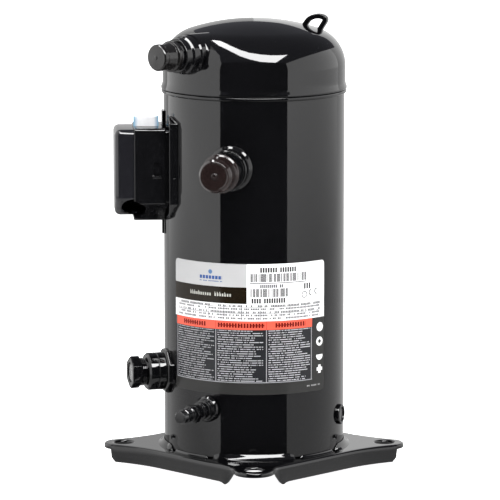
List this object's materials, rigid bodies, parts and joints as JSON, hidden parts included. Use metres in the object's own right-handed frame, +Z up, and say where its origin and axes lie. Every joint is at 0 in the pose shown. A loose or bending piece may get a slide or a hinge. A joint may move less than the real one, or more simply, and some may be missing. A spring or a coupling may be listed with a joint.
{
  "type": "scroll compressor",
  "caption": "Hermetic scroll compressor: a black welded steel shell on a square foot plate, with suction and discharge stubs, terminal box and working scroll set inside.",
  "frame": {"origin": "on the shell axis at the flat bottom of the lower cap, level with the underside of the foot plate", "axes": "+Z up along the shell axis; the sides of the square foot plate are parallel to X and Y, and the mounting holes lie on the diagonals"},
  "size_m": [0.2324, 0.2639, 0.4622],
  "materials": {
    "shell_paint": "gloss black enamel over welded steel",
    "plate_steel": "plain pressed steel",
    "sticker": "printed vinyl sticker",
    "plug_rubber": "smooth moulded rubber",
    "box_plastic": "moulded black thermoplastic",
    "lens_glass": "clear fused glass",
    "terminal_ceramic": "moulded ceramic-filled block",
    "copper": "varnished copper",
    "lead_sleeve": "insulated lead",
    "cast_iron": "machined grey iron",
    "machined_steel": "ground steel",
    "bearing_bronze": "bearing bronze",
    "cast_aluminium": "die-cast aluminium",
    "lamination": "stacked electrical steel"
  },
  "bodies": {
    "shell": {"shell_tube": "shell_paint", "top_cap": "shell_paint", "bottom_cap": "shell_paint", "base_plate": "shell_paint", "lift_eye": "shell_paint", "name_label": "sticker", "suction_stub": "shell_paint", "suction_ring": "shell_paint", "discharge_stub": "shell_paint", "discharge_ring": "shell_paint", "sight_glass_boss": "shell_paint", "sight_glass_body": "shell_paint", "sight_glass_nut": "shell_paint", "sight_glass_lens": "lens_glass", "oil_valve_stub": "shell_paint", "oil_valve_body": "shell_paint", "box_bracket": "shell_paint", "terminal_box_base": "box_plastic", "box_label": "sticker", "hermetic_terminal": "plate_steel", "terminal_block": "terminal_ceramic", "terminal_pin_1": "copper", "terminal_pin_2": "copper", "terminal_pin_3": "copper", "motor_lead_1": "lead_sleeve", "motor_lead_2": "lead_sleeve", "motor_lead_3": "lead_sleeve", "muffler_plate": "plate_steel", "check_valve_cage": "plate_steel", "main_housing": "cast_iron", "main_bush": "bearing_bronze", "housing_bolt_1": "machined_steel", "housing_bolt_2": "machined_steel", "housing_bolt_3": "machined_steel", "housing_bolt_4": "machined_steel", "lower_bracket": "cast_iron", "lower_bush": "bearing_bronze", "stator_core": "lamination", "winding_top": "copper", "winding_bottom": "copper"},
    "crank": {"crankshaft": "machined_steel", "rotor_core": "lamination", "rotor_ring_top": "cast_aluminium", "rotor_ring_bottom": "cast_aluminium", "counterweight_top": "bearing_bronze", "counterweight_bottom": "bearing_bronze", "drive_bush": "machined_steel", "oil_pickup": "machined_steel"},
    "orbiter": {"orbiting_scroll": "cast_iron", "orbiting_bush": "bearing_bronze"},
    "thrust_washer": {"thrust_ring": "machined_steel"},
    "oldham": {"oldham_ring": "cast_aluminium"},
    "upper_scroll": {"fixed_scroll": "cast_iron"},
    "seal": {"floating_seal": "machined_steel"},
    "check_disc": {"check_valve_disc": "machined_steel"},
    "valve_pin": {"oil_valve_pin": "bearing_bronze"},
    "valve_cap": {"oil_valve_cap": "shell_paint"},
    "suction_cap": {"suction_plug": "plug_rubber"},
    "discharge_cap": {"discharge_plug": "plug_rubber"},
    "box_cover": {"terminal_box_cover": "box_plastic"}
  },
  "joints": [
    {"name": "crank_spin", "type": "hinge", "parent": "shell", "child": "crank", "pos_m": [0, 0, 0.15], "axis": [0, 0, 1], "continuous": true},
    {"name": "scroll_orbit", "type": "hinge", "parent": "crank", "child": "orbiter", "pos_m": [0.00435, 0, 0.28], "axis": [0, 0, 1], "continuous": true},
    {"name": "thrust_drift", "type": "hinge", "parent": "crank", "child": "thrust_washer", "pos_m": [0.00217, 0, 0.29], "axis": [0, 0, 1], "continuous": true},
    {"name": "oldham_slide", "type": "hinge", "parent": "thrust_washer", "child": "oldham", "pos_m": [0.00435, 0, 0.286], "axis": [0, 0, 1], "continuous": true},
    {"name": "scroll_float", "type": "slide", "parent": "shell", "child": "upper_scroll", "axis": [0, 0, 1], "range_m": [0, 0.0005]},
    {"name": "seal_lift", "type": "slide", "parent": "upper_scroll", "child": "seal", "axis": [0, 0, 1], "range_m": [0, 0.0006]},
    {"name": "check_valve_lift", "type": "slide", "parent": "shell", "child": "check_disc", "axis": [0, 0, 1], "range_m": [0, 0.004]},
    {"name": "valve_pin_push", "type": "slide", "parent": "shell", "child": "valve_pin", "axis": [-0.2588, 0.9659, 0], "range_m": [0, 0.0012], "stiffness_N_per_m": 1500, "springref_m": -0.001},
    {"name": "valve_cap_off", "type": "slide", "parent": "shell", "child": "valve_cap", "axis": [0.2588, -0.9659, 0], "range_m": [0, 0.03]},
    {"name": "suction_plug_off", "type": "slide", "parent": "shell", "child": "suction_cap", "axis": [0.5075, -0.8616, 0], "range_m": [0, 0.035]},
    {"name": "discharge_plug_off", "type": "slide", "parent": "shell", "child": "discharge_cap", "axis": [0, -1, 0], "range_m": [0, 0.03]},
    {"name": "box_cover_off", "type": "slide", "parent": "shell", "child": "box_cover", "axis": [-0.6561, -0.7547, 0], "range_m": [0, 0.06]}
  ],
  "couplings": [
    {"joint": "scroll_orbit", "follows": "crank_spin", "ratio": -1},
    {"joint": "thrust_drift", "follows": "crank_spin", "ratio": -2},
    {"joint": "oldham_slide", "follows": "crank_spin", "ratio": 1}
  ]
}
